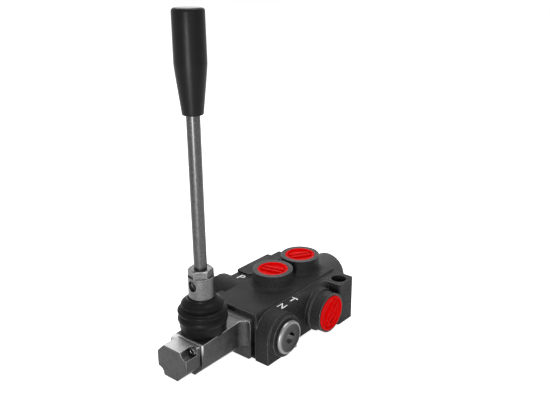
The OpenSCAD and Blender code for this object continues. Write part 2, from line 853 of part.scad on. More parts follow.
module lever_head() {
    color([0.62, 0.62, 0.64]) difference() {
        translate([0, lever, head_z]) rotate_extrude() {
            translate([rod_r + seat_gap, 0]) square([head_r - head_round - rod_r, head_h]);
            translate([rod_r + seat_gap, head_round])
                square([head_r - rod_r - seat_gap, head_h - head_round]);
            translate([head_r - head_round, head_round]) circle(r = head_round);
        }
        along_y(lever - head_r - 1, lever - head_r + head_hole_depth, head_hole_r, 0, head_hole_z);
        translate([0, lever - head_r + head_hole_rim, head_hole_z]) rotate([90, 0, 0])
            cylinder(r1 = head_hole_r, r2 = head_hole_r + 2 * head_hole_rim, h = 2 * head_hole_rim);
    }
}

module jam_nut() {
    color([0.62, 0.62, 0.64]) translate([0, lever, nut_z]) difference() {
        intersection() {
            rotate([0, 0, nut_turn]) cylinder(r = nut_af / sqrt(3), h = nut_h, $fn = 6);
            cylinder(r1 = nut_face_r + nut_h / tan(nut_slope), r2 = nut_face_r, h = nut_h);
        }
        translate([0, 0, -1]) cylinder(r = rod_r + seat_gap, h = nut_h + 2);
    }
}

module lever_rod() {
    color([0.6, 0.6, 0.62]) translate([0, lever, rod_foot]) cylinder(r = rod_r, h = rod_top - rod_foot);
}

module lever_grip() {
    color([0.09, 0.09, 0.09]) translate([0, lever, grip_z]) rotate_extrude() {
        polygon([
            [rod_r + seat_gap, 0], [grip_low_r, 0], [grip_waist_r, grip_waist],
            [grip_mid_r, grip_shoulder], [grip_top_r, grip_l - grip_round],
            [rod_r + seat_gap, grip_l - grip_round]
        ]);
        translate([0, grip_l - grip_round]) square([grip_top_r - grip_round, grip_round]);
        translate([grip_top_r - grip_round, grip_l - grip_round]) circle(r = grip_round);
        translate([0, rod_top - grip_z + 1])
            square([rod_r + 1, grip_l - grip_round - rod_top + grip_z - 1]);
    }
}

module spring_cap() {
    color([0.2, 0.2, 0.21]) difference() {
        union() {
            translate([0, back_l + spring_cap_l, spool_z]) rotate([90, 0, 0]) rotate_extrude() {
                translate([0, cap_round]) square([spring_cap_r, spring_cap_l - cap_round]);
                square([spring_cap_r - cap_round, spring_cap_l]);
                translate([spring_cap_r - cap_round, cap_round]) circle(r = cap_round);
            }
            to_ears() along_y(0, ear_l, ear_r, 0, 0);
            extrude_y(back_l, back_l + ear_l) translate([0, spool_z]) rotate(ear_turn)
                square([2 * sqrt(2) * ear_off, 2 * ear_r - ear_neck], center = true);
        }
        along_y(back_l - 1, back_l + spring_cap_l - spring_cap_t,
            spring_cap_r - spring_cap_t, 0, spool_z);
        to_ears() along_y(-1, ear_l + 1, screw_r + seat_gap, 0, 0);
        to_ears() along_y(ear_l, spring_cap_l + 1, screw_head_r + soft_gap, 0, 0);
    }
}

module spring_cap_screws() {
    color([0.3, 0.3, 0.31]) to_ears() difference() {
        union() {
            along_y(1 - screw_l, ear_l, screw_r - seat_gap, 0, 0);
            along_y(ear_l, ear_l + screw_head_l, screw_head_r, 0, 0);
        }
        hex_along_y(ear_l + 1, ear_l + screw_head_l + 1, screw_key_af, 0, 0);
    }
}

// A closing plug with its face at 0, its shank down and grip bars in its face
module closing_plug(flange_r, bar_angle) {
    difference() {
        union() {
            translate([0, 0, -spot_d]) cylinder(r = flange_r, h = spot_d);
            translate([0, 0, -plug_l]) cylinder(r = port_r - eps, h = plug_l - 1);
        }
        difference() {
            translate([0, 0, -plug_recess_d])
                cylinder(r = flange_r - plug_lip, h = plug_recess_d + 1);
            rotate([0, 0, bar_angle]) for (side = [-1, 1])
                translate([-flange_r, side * plug_bar_pitch / 2 - plug_bar / 2, -plug_recess_d - 1])
                    cube([2 * flange_r, plug_bar, plug_recess_d + 1]);
        }
    }
}

module plug_port_a() { color([0.8, 0.02, 0.02]) to_port_a() closing_plug(spot_r - plug_gap, plug_turn_a); }
module plug_port_b() { color([0.8, 0.02, 0.02]) to_port_b() closing_plug(spot_r - plug_gap, plug_turn_b); }
module plug_port_p() { color([0.8, 0.02, 0.02]) to_port_p() closing_plug(spot_r - plug_gap, plug_turn_p); }
module plug_port_t() {
    color([0.8, 0.02, 0.02]) to_port_t() closing_plug(return_spot_r - return_plug_gap, plug_turn_t);
}

module plug_port_n() {
    color([0.45, 0.45, 0.46]) to_port_n() difference() {
        union() {
            translate([0, 0, 1 - port_depth]) cylinder(r = port_r - eps, h = port_depth);
            translate([0, 0, washer_t]) cylinder(r = steel_plug_r, h = steel_plug_t - 1);
            translate([0, 0, washer_t + steel_plug_t - 1])
                cylinder(r1 = steel_plug_r, r2 = steel_plug_r - 1, h = 1);
        }
        translate([0, 0, washer_t + steel_plug_t - socket_d])
            cylinder(r = socket_af / sqrt(3), h = socket_d + 1, $fn = 6);
    }
}

module washer_port_n() {
    color([0.2, 0.2, 0.2]) to_port_n() difference() {
        cylinder(r = washer_r, h = washer_t);
        translate([0, 0, -1]) cylinder(r = port_r + eps, h = washer_t + 2);
    }
}

module check_poppet() {
    tail = poppet_seat_x - poppet_l;
    color([0.6, 0.6, 0.62]) difference() {
        union() {
            along_x(tail, poppet_seat_x, check_r - pin_gap, check_y, spool_z);
            translate([poppet_seat_x, check_y, spool_z]) rotate([0, 90, 0])
                cylinder(r1 = check_r - 1, r2 = poppet_tip_r, h = poppet_tip_l);
        }
        along_x(tail - 1, tail + poppet_bore_l, poppet_bore_r, check_y, spool_z);
    }
}

module check_spring() {
    tail = poppet_seat_x - poppet_l + poppet_bore_l;
    color([0.55, 0.56, 0.58]) translate([-left_x + check_plug_l, check_y, spool_z])
        rotate([0, 90, 0])
        coil(check_spring_r, check_wire_r, tail + left_x - check_plug_l, check_spring_turns);
}

module check_plug() {
    color([0.4, 0.4, 0.42]) difference() {
        along_x(-left_x, -left_x + check_plug_l, check_r - seat_gap, check_y, spool_z);
        translate([-left_x - 1, check_y, spool_z]) rotate([0, 90, 0])
            cylinder(r = check_key_af / sqrt(3), h = check_key_d + 1, $fn = 6);
    }
}

module relief_cartridge() {
    hex_end = back_l + relief_seal_t + relief_hex_l;
    color([0.5, 0.5, 0.52]) difference() {
        union() {
            along_y(relief_seat_y + relief_nose_l, back_l + relief_seal_t, relief_r,
                -relief_x, relief_z);
            along_y(relief_seat_y, relief_seat_y + relief_nose_l + 1, relief_nose_r,
                -relief_x, relief_z);
            hex_along_y(back_l + relief_seal_t, hex_end, relief_hex_af, -relief_x, relief_z);
        }
        along_y(relief_seat_y - 1, relief_seat_y + relief_wall + 1, relief_inlet_r,
            -relief_x, relief_z);
        along_y(relief_seat_y + relief_wall, hex_end + 1, relief_bore_r, -relief_x, relief_z);
        translate([-relief_x, relief_seat_y + relief_hole_y, relief_z - relief_nose_r - 1])
            cylinder(r = relief_hole_r, h = 2 * relief_nose_r + 2);
    }
}

module relief_seal() {
    color([0.05, 0.05, 0.05]) difference() {
        along_y(back_l, back_l + relief_seal_t, relief_seal_r, -relief_x, relief_z);
        along_y(back_l - 1, back_l + relief_seal_t + 1, relief_r + seat_gap, -relief_x, relief_z);
    }
}

relief_poppet_y = relief_seat_y + relief_wall;
relief_screw_y = relief_poppet_y + relief_poppet_l + relief_spring_l;
module relief_poppet() {
    color([0.6, 0.6, 0.62]) translate([-relief_x, relief_poppet_y + relief_poppet_l, relief_z])
        rotate([90, 0, 0]) {
            cylinder(r = relief_bore_r - pin_gap, h = relief_poppet_l - relief_cone_l);
            translate([0, 0, relief_poppet_l - relief_cone_l])
                cylinder(r1 = relief_bore_r - pin_gap, r2 = relief_cone_r, h = relief_cone_l);
        }
}

module relief_spring() {
    color([0.55, 0.56, 0.58]) translate([-relief_x, relief_screw_y, relief_z])
        rotate([90, 0, 0])
        coil(relief_bore_r - 1, relief_wire_r, relief_spring_l, relief_spring_turns);
}

module relief_screw() {
    color([0.55, 0.55, 0.57])
        along_y(relief_screw_y, back_l + relief_reach - relief_screw_in, relief_bore_r - seat_gap,
            -relief_x, relief_z);
}

module relief_locknut() {
    start = back_l + relief_seal_t + relief_hex_l;
    color([0.55, 0.55, 0.57]) difference() {
        hex_along_y(start, start + relief_nut_l, relief_nut_af, -relief_x, relief_z);
        along_y(start - 1, start + relief_nut_l + 1, relief_bore_r, -relief_x, relief_z);
    }
}

module relief_cap() {
    start = back_l + relief_seal_t + relief_hex_l;
    color([0.8, 0.02, 0.02]) difference() {
        translate([-relief_x, back_l + relief_reach, relief_z]) rotate([90, 0, 0]) rotate_extrude() {
            translate([0, cap_round])
                square([relief_cap_r, back_l + relief_reach - start - cap_round]);
            square([relief_cap_r - cap_round, 2 * cap_round]);
            translate([relief_cap_r - cap_round, cap_round]) circle(r = cap_round);
        }
        along_y(start - 1, back_l + relief_reach - 2 * relief_cap_wall,
            relief_cap_r - relief_cap_wall, -relief_x, relief_z);
    }
}

body();
spool();
spool_tongue();
stem_bolt();
inner_spring_seat();
outer_spring_seat();
centring_spring();
front_spool_seal();
rear_spool_seal();
lever_box();
box_screws();
box_end_cap();
end_cap_screws();
end_cap_seal();
lever_pin();
lever_arm();
lever_boot();
lever_head();
jam_nut();
lever_rod();
lever_grip();
spring_cap();
spring_cap_screws();
plug_port_a();
plug_port_b();
plug_port_t();
plug_port_p();
plug_port_n();
washer_port_n();
check_poppet();
check_spring();
check_plug();
relief_cartridge();
relief_seal();
relief_poppet();
relief_spring();
relief_screw();
relief_locknut();
relief_cap();
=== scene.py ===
import math

import bpy
from mathutils import Matrix, Vector


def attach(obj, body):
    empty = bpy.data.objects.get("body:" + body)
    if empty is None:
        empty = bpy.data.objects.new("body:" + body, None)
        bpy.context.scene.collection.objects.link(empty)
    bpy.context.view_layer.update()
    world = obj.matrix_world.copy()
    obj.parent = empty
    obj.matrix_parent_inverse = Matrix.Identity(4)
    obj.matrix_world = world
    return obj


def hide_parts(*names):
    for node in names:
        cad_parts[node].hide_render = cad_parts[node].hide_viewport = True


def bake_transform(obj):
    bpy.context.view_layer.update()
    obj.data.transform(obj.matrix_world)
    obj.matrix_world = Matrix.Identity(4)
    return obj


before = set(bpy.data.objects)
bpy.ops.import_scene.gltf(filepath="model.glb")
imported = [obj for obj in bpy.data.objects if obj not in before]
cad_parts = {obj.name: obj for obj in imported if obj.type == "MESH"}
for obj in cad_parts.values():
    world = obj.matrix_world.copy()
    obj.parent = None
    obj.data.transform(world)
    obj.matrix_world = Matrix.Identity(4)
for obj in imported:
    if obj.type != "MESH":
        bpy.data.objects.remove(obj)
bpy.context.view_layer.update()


# Camera: one view from the front right, a little above the ports. Its place,
# turn and focal length were fitted to the round port faces, the edges of the
# casting and the lever.
camera_data = bpy.data.cameras.new("camera")
camera_data.sensor_width = 36.0
camera_data.lens = 45.05
camera_data.clip_start = 0.01
camera = bpy.data.objects.new("camera", camera_data)
bpy.context.scene.collection.objects.link(camera)
azimuth = math.radians(39.42)
elevation = math.radians(20.21)
roll = math.radians(-0.45)
toward = Vector((math.sin(azimuth) * math.cos(elevation),
                 -math.cos(azimuth) * math.cos(elevation), math.sin(elevation)))
level = Vector((math.cos(azimuth), math.sin(azimuth), 0.0))
upward = toward.cross(level)
right = level * math.cos(roll) + upward * math.sin(roll)
top = upward * math.cos(roll) - level * math.sin(roll)
place = Matrix((right, top, toward)).transposed().to_4x4()
place.translation = Vector((0.33915, -0.40904, 0.30507))
camera.matrix_world = place
bpy.context.scene.camera = camera
bpy.context.scene.view_settings.view_transform = "Standard"


# Studio: a white sweep under the valve and a bright world, so that black paint
# and bare metal show their form by pale reflections. A low strip beside the
# camera draws the highlight on the rod and grip, and three wide boxes fill in.
world_light = 0.3
seen_light = 1.0
sweep_size = 6.0
sweep_drop = 0.0002
sweep_glow = 0.82
white = (1.0, 1.0, 1.0, 1.0)


class Value:
    """One output of a material's nodes. Arithmetic on it adds Math nodes."""

    def __init__(self, finish, socket):
        self.finish = finish
        self.socket = socket

    def combine(self, operation, *values):
        return self.finish.node("ShaderNodeMath", {"operation": operation}, values)

    def __add__(self, other):
        return self.combine("ADD", self, other)

    __radd__ = __add__

    def __sub__(self, other):
        return self.combine("SUBTRACT", self, other)

    def __rsub__(self, other):
        return self.combine("SUBTRACT", other, self)

    def __mul__(self, other):
        return self.combine("MULTIPLY", self, other)

    __rmul__ = __mul__

    def __gt__(self, other):
        return self.combine("GREATER_THAN", self, other)

    def __lt__(self, other):
        return self.combine("LESS_THAN", self, other)

    def sqrt(self):
        return self.combine("SQRT", self)

    def at_most(self, limit):
        return self.combine("MINIMUM", self, limit)


class Finish:
    """A material with one Principled surface and the nodes that vary it."""

    def __init__(self, name, **constants):
        self.material = bpy.data.materials.new(name)
        self.material.use_nodes = True
        self.tree = self.material.node_tree
        self.surface = next(n for n in self.tree.nodes if n.type == "BSDF_PRINCIPLED")
        for socket, value in constants.items():
            self.surface.inputs[self.socket_name(socket)].default_value = value

    def socket_name(self, word):
        return word.replace("_", " ").title().replace("Ior", "IOR")

    def node(self, kind, settings=None, sockets=(), output=0):
        """Adds a node: its settings first, then the value or link of each socket."""
        made = self.tree.nodes.new(kind)
        for key, value in (settings or {}).items():
            setattr(made, key, value)
        named = sockets.items() if isinstance(sockets, dict) else enumerate(sockets)
        for key, value in named:
            if isinstance(value, Value):
                self.tree.links.new(value.socket, made.inputs[key])
            else:
                made.inputs[key].default_value = value
        return Value(self, made.outputs[output])

    def place(self):
        return self.node("ShaderNodeTexCoord", output="Object")

    def axes(self):
        """The x, y and z of a point in metres."""
        split = self.tree.nodes.new("ShaderNodeSeparateXYZ")
        self.tree.links.new(self.place().socket, split.inputs[0])
        return [Value(self, socket) for socket in split.outputs]

    def noise(self, scale, detail=4.0, roughness=0.55):
        return self.node("ShaderNodeTexNoise", None, {
            "Vector": self.place(), "Scale": scale, "Detail": detail, "Roughness": roughness})

    def stretched(self, scale, factors, detail=3.0):
        """Noise drawn out along the axes whose factor is small."""
        squeezed = self.node("ShaderNodeMapping", None, {"Vector": self.place(), "Scale": factors})
        return self.node("ShaderNodeTexNoise", None, {
            "Vector": squeezed, "Scale": scale, "Detail": detail})

    def span(self, value, low, high, to_low=0.0, to_high=1.0):
        """Carries the range from low to high over to the range from to_low to to_high."""
        return self.node("ShaderNodeMapRange", None, {
            "Value": value, "From Min": low, "From Max": high, "To Min": to_low, "To Max": to_high})

    def mix(self, factor, first, second):
        """The first colour where the factor is 0, the second where it is 1."""
        return self.node("ShaderNodeMix", {"data_type": "RGBA"},
                         {0: factor, 6: first, 7: second}, output=2)

    def drive(self, **values):
        for socket, value in values.items():
            self.tree.links.new(value.socket, self.surface.inputs[self.socket_name(socket)])

    def edge(self, radius, start=0.985, full=0.86):
        """How near a point is to a sharp edge: 0 on a flat, 1 on the edge."""
        rounded = self.node("ShaderNodeBevel", {"samples": 6}, {"Radius": radius})
        straight = self.node("ShaderNodeNewGeometry", output="Normal")
        agreement = self.node("ShaderNodeVectorMath", {"operation": "DOT_PRODUCT"},
                              (rounded, straight), output="Value")
        return self.span(agreement, start, full)

    def relief(self, *layers, soft=0.0):
        """Stacks bumps of (height, depth in metres), over edges softened by a small radius."""
        normal = None
        if soft:
            normal = self.node("ShaderNodeBevel", {"samples": 4}, {"Radius": soft})
        for height, depth in layers:
            sockets = {"Height": height, "Distance": depth, "Strength": 1.0}
            if normal:
                sockets["Normal"] = normal
            normal = self.node("ShaderNodeBump", None, sockets)
        self.drive(Normal=normal)


def shown_white(tree, kind):
    """A white emitter, and the socket that is 1 for the camera's and reflected rays."""
    emitter = tree.nodes.new(kind)
    emitter.inputs["Color"].default_value = white
    path = tree.nodes.new("ShaderNodeLightPath")
    direct = path.outputs["Is Camera Ray"]
    for ray in ("Is Glossy Ray", "Is Transmission Ray"):
        either = tree.nodes.new("ShaderNodeMath")
        either.operation = "MAXIMUM"
        tree.links.new(direct, either.inputs[0])
        tree.links.new(path.outputs[ray], either.inputs[1])
        direct = either.outputs[0]
    return emitter, direct


world = bpy.data.worlds.new("studio")
bpy.context.scene.world = world
world.use_nodes = True
tree = world.node_tree
tree.nodes.clear()
output = tree.nodes.new("ShaderNodeOutputWorld")
light = tree.nodes.new("ShaderNodeBackground")
light.inputs["Color"].default_value = white
light.inputs["Strength"].default_value = world_light
seen, direct = shown_white(tree, "ShaderNodeBackground")
seen.inputs["Strength"].default_value = seen_light
mixer = tree.nodes.new("ShaderNodeMixShader")
tree.links.new(direct, mixer.inputs[0])
tree.links.new(light.outputs[0], mixer.inputs[1])
tree.links.new(seen.outputs[0], mixer.inputs[2])
tree.links.new(mixer.outputs[0], output.inputs["Surface"])


def soft_box(name, stand, aim, width, height, power):
    """A rectangular lamp on its stand, turned to what it is aimed at."""
    data = bpy.data.lights.new(name, "AREA")
    data.shape = "RECTANGLE"
    data.size = width
    data.size_y = height
    data.energy = power
    lamp = bpy.data.objects.new(name, data)
    bpy.context.scene.collection.objects.link(lamp)
    lamp.location = stand
    lamp.rotation_euler = (Vector(aim) - Vector(stand)).to_track_quat("-Z", "Y").to_euler()


soft_box("top_box", (-0.10, 0.15, 0.95), (0.0, 0.0, 0.03), width=0.6, height=0.6, power=7.0)
soft_box("key_box", (0.31, -0.60, 0.13), (0.0, -0.08, 0.15), width=0.06, height=0.25, power=3.2)
soft_box("side_box", (1.0, -0.45, 0.45), (0.0, 0.0, 0.05), width=0.5, height=0.5, power=1.4)
soft_box("rear_box", (-0.70, 0.85, 0.55), (0.0, 0.0, 0.05), width=0.5, height=0.3, power=2.0)

sweep = Finish("sweep", base_color=(0.9, 0.9, 0.9, 1.0), roughness=0.9)
tree = sweep.tree
output = next(n for n in tree.nodes if n.type == "OUTPUT_MATERIAL")
seen, direct = shown_white(tree, "ShaderNodeEmission")
share = tree.nodes.new("ShaderNodeMath")
share.operation = "MULTIPLY"
share.inputs[1].default_value = sweep_glow
tree.links.new(direct, share.inputs[0])
tree.links.new(share.outputs[0], seen.inputs["Strength"])
both = tree.nodes.new("ShaderNodeAddShader")
tree.links.new(sweep.surface.outputs[0], both.inputs[0])
tree.links.new(seen.outputs[0], both.inputs[1])
tree.links.new(both.outputs[0], output.inputs["Surface"])
bpy.ops.object.select_all(action="DESELECT")
bpy.ops.mesh.primitive_plane_add(size=sweep_size, location=(0.0, 0.0, -sweep_drop))
floor = bpy.context.object
floor.name = "floor"
floor.data.materials.append(sweep.material)


# Housing: one iron casting with all ports and channels, sand cast and painted black. The port faces and
# bores are machined bare after painting, and the sand leaves a fine pebbled skin. Its edges are lightened,
# partly as wear and partly as a painted highlight.
top_port_face = 0.0528
right_port_face = 0.0494
left_port_face = -0.0514


def grey(level, cool=0.0):
    """A grey with a little more or less blue in it."""
    return (level, level, level + cool, 1.0)


def give(finish, *names):
    """Puts a finish on CAD nodes."""
    for name in names:
        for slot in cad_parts[name].material_slots:
            slot.material = finish.material


cast_iron = Finish("cast_iron", metallic=0.0, ior=1.16)
x, y, z = cast_iron.axes()
faced = ((z > top_port_face) + (x > right_port_face) + (x < left_port_face)).at_most(1.0)
grain = cast_iron.noise(1100.0, 5.0)
blotch = cast_iron.noise(45.0)
paint = cast_iron.mix(blotch, grey(0.006, 0.0002), grey(0.013, 0.0003))
paint = cast_iron.mix(cast_iron.span(grain, 0.35, 0.7), paint, grey(0.03, 0.001))
bare = cast_iron.mix(grain, grey(0.015), grey(0.045, -0.001))
skin = cast_iron.mix(faced, paint, bare)
# Edges lightened towards grey: partly worn paint, partly a painted highlight.
skin = cast_iron.mix(cast_iron.edge(0.0007) * 0.7, skin, grey(0.2))
cast_iron.drive(Base_Color=skin,
                Metallic=faced * 0.8,
                Roughness=cast_iron.span(blotch, 0.3, 0.7, 0.42, 0.6))
cast_iron.relief((grain, 0.00025), (cast_iron.noise(260.0, 3.0), 0.0003), soft=0.0007)
give(cast_iron, "body")


# Port letters: white marking paint, printed flat on the casting beside the
# ports that they name. Each is a thin solid that sinks a little into the skin.
letter_rise = 0.00012
letter_sink = 0.0004


def lay_letter(name, letter, corner_low, corner_high, height):
    """A flat white letter, upright along +Y, that fills the box between two corners."""
    bpy.ops.object.select_all(action="DESELECT")
    bpy.ops.object.text_add()
    text = bpy.context.object
    text.data.body = letter
    text.data.extrude = 0.01
    text.data.offset = -0.001
    bpy.ops.object.convert(target="MESH")
    mark = bpy.context.object
    mark.name = name
    low = [min(v.co[k] for v in mark.data.vertices) for k in range(2)]
    high = [max(v.co[k] for v in mark.data.vertices) for k in range(2)]
    for v in mark.data.vertices:
        for k in range(2):
            share = (v.co[k] - low[k]) / (high[k] - low[k])
            v.co[k] = corner_low[k] + share * (corner_high[k] - corner_low[k])
        v.co[2] = height + (letter_rise if v.co[2] > 0.0 else -letter_sink)
    return mark


ink = Finish("marking_paint", roughness=0.5)
ink.drive(Base_Color=ink.mix(ink.noise(1500.0), grey(0.62), grey(0.86)))
ink.relief((ink.noise(1800.0), 0.00005))
for name, letter, low, high, height in (
        ("letter_p", "P", (-0.0300, -0.0134), (-0.0250, -0.0060), 0.0400),
        ("letter_t", "T", (0.0282, -0.0156), (0.0340, -0.0090), 0.0385),
        ("letter_n", "N", (0.0284, -0.0296), (0.0337, -0.0225), 0.0385)):
    mark = lay_letter(name, letter, low, high, height)
    mark.data.materials.append(ink.material)
    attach(mark, "housing")


# Spool and valves: the spool, its springs and seats, the load check and the
# relief valve. They are hardened steel, turned and ground bright, and slide or
# screw into bores of the casting.
turned = Finish("turned_steel", metallic=1.0)
turned.drive(Base_Color=turned.mix(turned.noise(90.0), grey(0.40, 0.01), grey(0.55, 0.01)),
             Roughness=turned.span(turned.noise(600.0), 0.3, 0.7, 0.22, 0.36))
turned.relief((turned.noise(1500.0), 0.00002), soft=0.0003)
give(turned, "spool", "spool_tongue", "inner_spring_seat", "outer_spring_seat", "centring_spring",
     "check_poppet", "check_spring", "relief_cartridge", "relief_poppet", "relief_spring",
     "relief_screw", "relief_locknut")


# Spring cap: a cup over the centring spring, cast with a matt dark skin and
# held on the rear face of the casting by two screws.
cap_paint = Finish("spring_cap_skin", ior=1.15)
cap_paint.drive(Base_Color=cap_paint.mix(cap_paint.noise(70.0), grey(0.06, 0.001), grey(0.1)),
                Roughness=cap_paint.span(cap_paint.noise(60.0), 0.3, 0.7, 0.5, 0.7))
cap_paint.relief((cap_paint.noise(700.0), 0.0002), soft=0.0006)
give(cap_paint, "spring_cap")


# Lever box: a die-cast aluminium housing with its end cap, screwed to the front of the casting. It is left
# bare, with a matt skin and a top that falls to the front. Its top is lightened as painted light, and the
# front rim, the top facet of the cap and the upper edges carry painted highlights, the edges partly as
# wear.
box_top_y = -0.053
box_top_z = 0.0352
box_fall = 0.0594
rim_front = -0.1036
rim_back = -0.1019
cap_back = -0.1046
cap_facet_z = 0.0318

aluminium = Finish("cast_aluminium", metallic=1.0)
x, y, z = aluminium.axes()
cloud = aluminium.noise(120.0, 6.0, 0.7)
skin = aluminium.noise(1300.0)
above_top = (z - box_top_z) - (y - box_top_y) * box_fall
# Painted light: the top of the box is lightened where it faces the lamp above.
painted_top_light = aluminium.span(above_top, -0.0008, 0.0)
# Painted highlight: the top facet of the end cap is made bright.
painted_facet_highlight = (z > cap_facet_z) * (y < cap_back)
# Painted highlight: a band on the front rim, brighter towards the top.
rim_highlight = (y < rim_back) * (y > rim_front) * aluminium.span(z, 0.024, 0.031)
# Edges lightened more towards the top: partly wear, partly a painted highlight.
wear_and_highlight = aluminium.edge(0.0007) * aluminium.span(z, 0.018, 0.032, 0.05, 0.75)
metal = aluminium.mix(aluminium.span(cloud, 0.3, 0.7), grey(0.022, 0.0005), grey(0.052, 0.001))
metal = aluminium.mix(painted_top_light * 0.7, metal, grey(0.085))
metal = aluminium.mix(aluminium.span(skin, 0.4, 0.7) * 0.5, metal, grey(0.10))
metal = aluminium.mix(painted_facet_highlight, metal, grey(0.42))
metal = aluminium.mix(rim_highlight * 0.85, metal, grey(0.6))
metal = aluminium.mix(wear_and_highlight, metal, grey(0.6))
aluminium.drive(Base_Color=metal, Roughness=aluminium.span(cloud, 0.3, 0.7, 0.35, 0.5))
aluminium.relief((skin, 0.00012), (cloud, 0.0003), soft=0.0006)
give(aluminium, "lever_box", "box_end_cap")


# Lever head, jam nut, lower arm and pin: zinc-plated steel. The head is turned
# on a lathe, the pin is pressed across the box, and the nut locks the rod.
plated = Finish("plated_steel", metallic=1.0)
turning = plated.stretched(700.0, (0.15, 0.15, 1.0))
mottle = plated.noise(900.0)
metal = plated.mix(turning, grey(0.05), grey(0.115))
metal = plated.mix(plated.span(mottle, 0.4, 0.7) * 0.4, metal, grey(0.2))
# Edges lightened: partly wear, partly a painted highlight.
metal = plated.mix(plated.edge(0.0005) * 0.6, metal, grey(0.7))
plated.drive(Base_Color=metal, Roughness=plated.span(turning, 0.3, 0.7, 0.3, 0.42))
plated.relief((turning, 0.000012), (mottle, 0.000012), soft=0.0004)
give(plated, "lever_head", "jam_nut", "lever_arm", "lever_pin")


# Lever rod: bright drawn steel bar, threaded into the head. Drawing leaves
# fine streaks along it.
drawn = Finish("drawn_rod", metallic=1.0)
streak = drawn.stretched(900.0, (1.0, 1.0, 0.02))
mottle = drawn.noise(700.0)
metal = drawn.mix(streak, grey(0.035), grey(0.08))
metal = drawn.mix(drawn.span(mottle, 0.4, 0.7) * 0.25, metal, grey(0.16))
drawn.drive(Base_Color=metal, Roughness=drawn.span(mottle, 0.3, 0.7, 0.3, 0.38))
drawn.relief((streak, 0.000008), (mottle, 0.000008))
give(drawn, "lever_rod")


# Grip: a handle of black satin plastic, moulded with a tapered lower half and
# a rounded top, and pressed on the end of the rod.
mm = 0.001
lever_y = -0.0845
rod_socket_r = 5.05
rod_end_z = 236.0
grip_foot_z = 201.0
grip_top_z = 272.25


def turned_piece(name, rings, sides=96, loop=False):
    """Turns a piece about Z: a circle is extruded from ring to ring, each (radius, height) in mm."""
    bpy.ops.object.select_all(action="DESELECT")
    radius, height = rings[0]
    bpy.ops.mesh.primitive_circle_add(vertices=sides, radius=radius * mm, location=(0.0, 0.0, height * mm),
                                      fill_type="NOTHING" if loop else "NGON")
    piece = bpy.context.object
    bpy.ops.object.transform_apply(location=True, rotation=True, scale=True)
    piece.name = name
    bpy.ops.object.mode_set(mode="EDIT")
    bpy.ops.mesh.select_all(action="SELECT")
    for next_radius, next_height in rings[1:]:
        bpy.ops.mesh.extrude_region_move(
            TRANSFORM_OT_translate={"value": (0.0, 0.0, (next_height - height) * mm)})
        share = next_radius / radius
        bpy.ops.transform.resize(value=(share, share, 1.0), center_override=(0.0, 0.0, 0.0))
        radius, height = next_radius, next_height
    bpy.ops.mesh.select_all(action="SELECT")
    bpy.ops.mesh.remove_doubles(threshold=0.001 * mm)
    bpy.ops.mesh.normals_make_consistent(inside=False)
    bpy.ops.object.mode_set(mode="OBJECT")
    return piece


def settle(piece, finish, position, turn=(0.0, 0.0, 0.0), sharp=35.0):
    """Puts a finished piece in its place, smooths it and gives it its material."""
    bpy.ops.object.select_all(action="DESELECT")
    piece.select_set(True)
    bpy.context.view_layer.objects.active = piece
    piece.rotation_euler = turn
    piece.location = position
    bpy.ops.object.transform_apply(location=True, rotation=True, scale=True)
    bpy.ops.object.shade_smooth_by_angle(angle=math.radians(sharp))
    piece.data.materials.clear()
    piece.data.materials.append(finish.material)


def arc(centre_r, centre_z, radius, start, end, steps=6):
    """Points of (radius, height) on a part of a circle, by angle in degrees."""
    angles = [math.radians(start + (end - start) * k / steps) for k in range(steps + 1)]
    return [(centre_r + radius * math.cos(a), centre_z + radius * math.sin(a)) for a in angles]


grip = Finish("grip_plastic", ior=1.22)
grip.drive(Base_Color=grip.mix(grip.noise(300.0), grey(0.002, 0.0002), grey(0.005, 0.0002)),
           Roughness=grip.span(grip.noise(900.0), 0.3, 0.7, 0.34, 0.42))
grip.relief((grip.noise(1400.0), 0.00001), soft=0.0005)
give(grip, "lever_grip")
taper = [(8.15, 206.0), (8.75, 211.0), (9.45, 217.0), (10.2, 223.5), (10.85, 229.5), (11.2, 233.0)]
shoulder = [(11.38, 235.2), (11.42, 236.6), (11.4, 240.0), (11.36, 250.0), (11.3, 260.0)]
handle = turned_piece(
    "handle", [(rod_socket_r, rod_end_z), (rod_socket_r, grip_foot_z), (6.7, grip_foot_z)]
    + arc(6.9, 201.8, 0.8, -90, 0, 4) + taper + shoulder
    + arc(8.9, 269.8, 2.35, 0, 90, 8) + [(6.0, 272.2), (0.6, grip_top_z)])
settle(handle, grip, (0.0, lever_y, 0.0))
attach(handle, "hand_lever")
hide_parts("lever_grip")


# Boot: a moulded rubber bellows with three folds. Its foot snaps over the turret of the lever box and its
# neck grips the lever head.
foot_r = 16.2
foot_z = 32.0
turret_z = 33.85
box_half_width = 0.017

rubber = Finish("boot_rubber", ior=1.16)
rubber.drive(Base_Color=rubber.mix(rubber.noise(200.0), grey(0.003), grey(0.007)),
             Roughness=rubber.span(rubber.noise(500.0), 0.3, 0.7, 0.32, 0.5))
rubber.relief((rubber.noise(1600.0), 0.000015))


def refined(piece, levels):
    """Rounds a piece by subdividing its surface."""
    smooth = piece.modifiers.new("smooth", "SUBSURF")
    smooth.levels = smooth.render_levels = levels
    bpy.context.view_layer.objects.active = piece
    bpy.ops.object.modifier_apply(modifier=smooth.name)


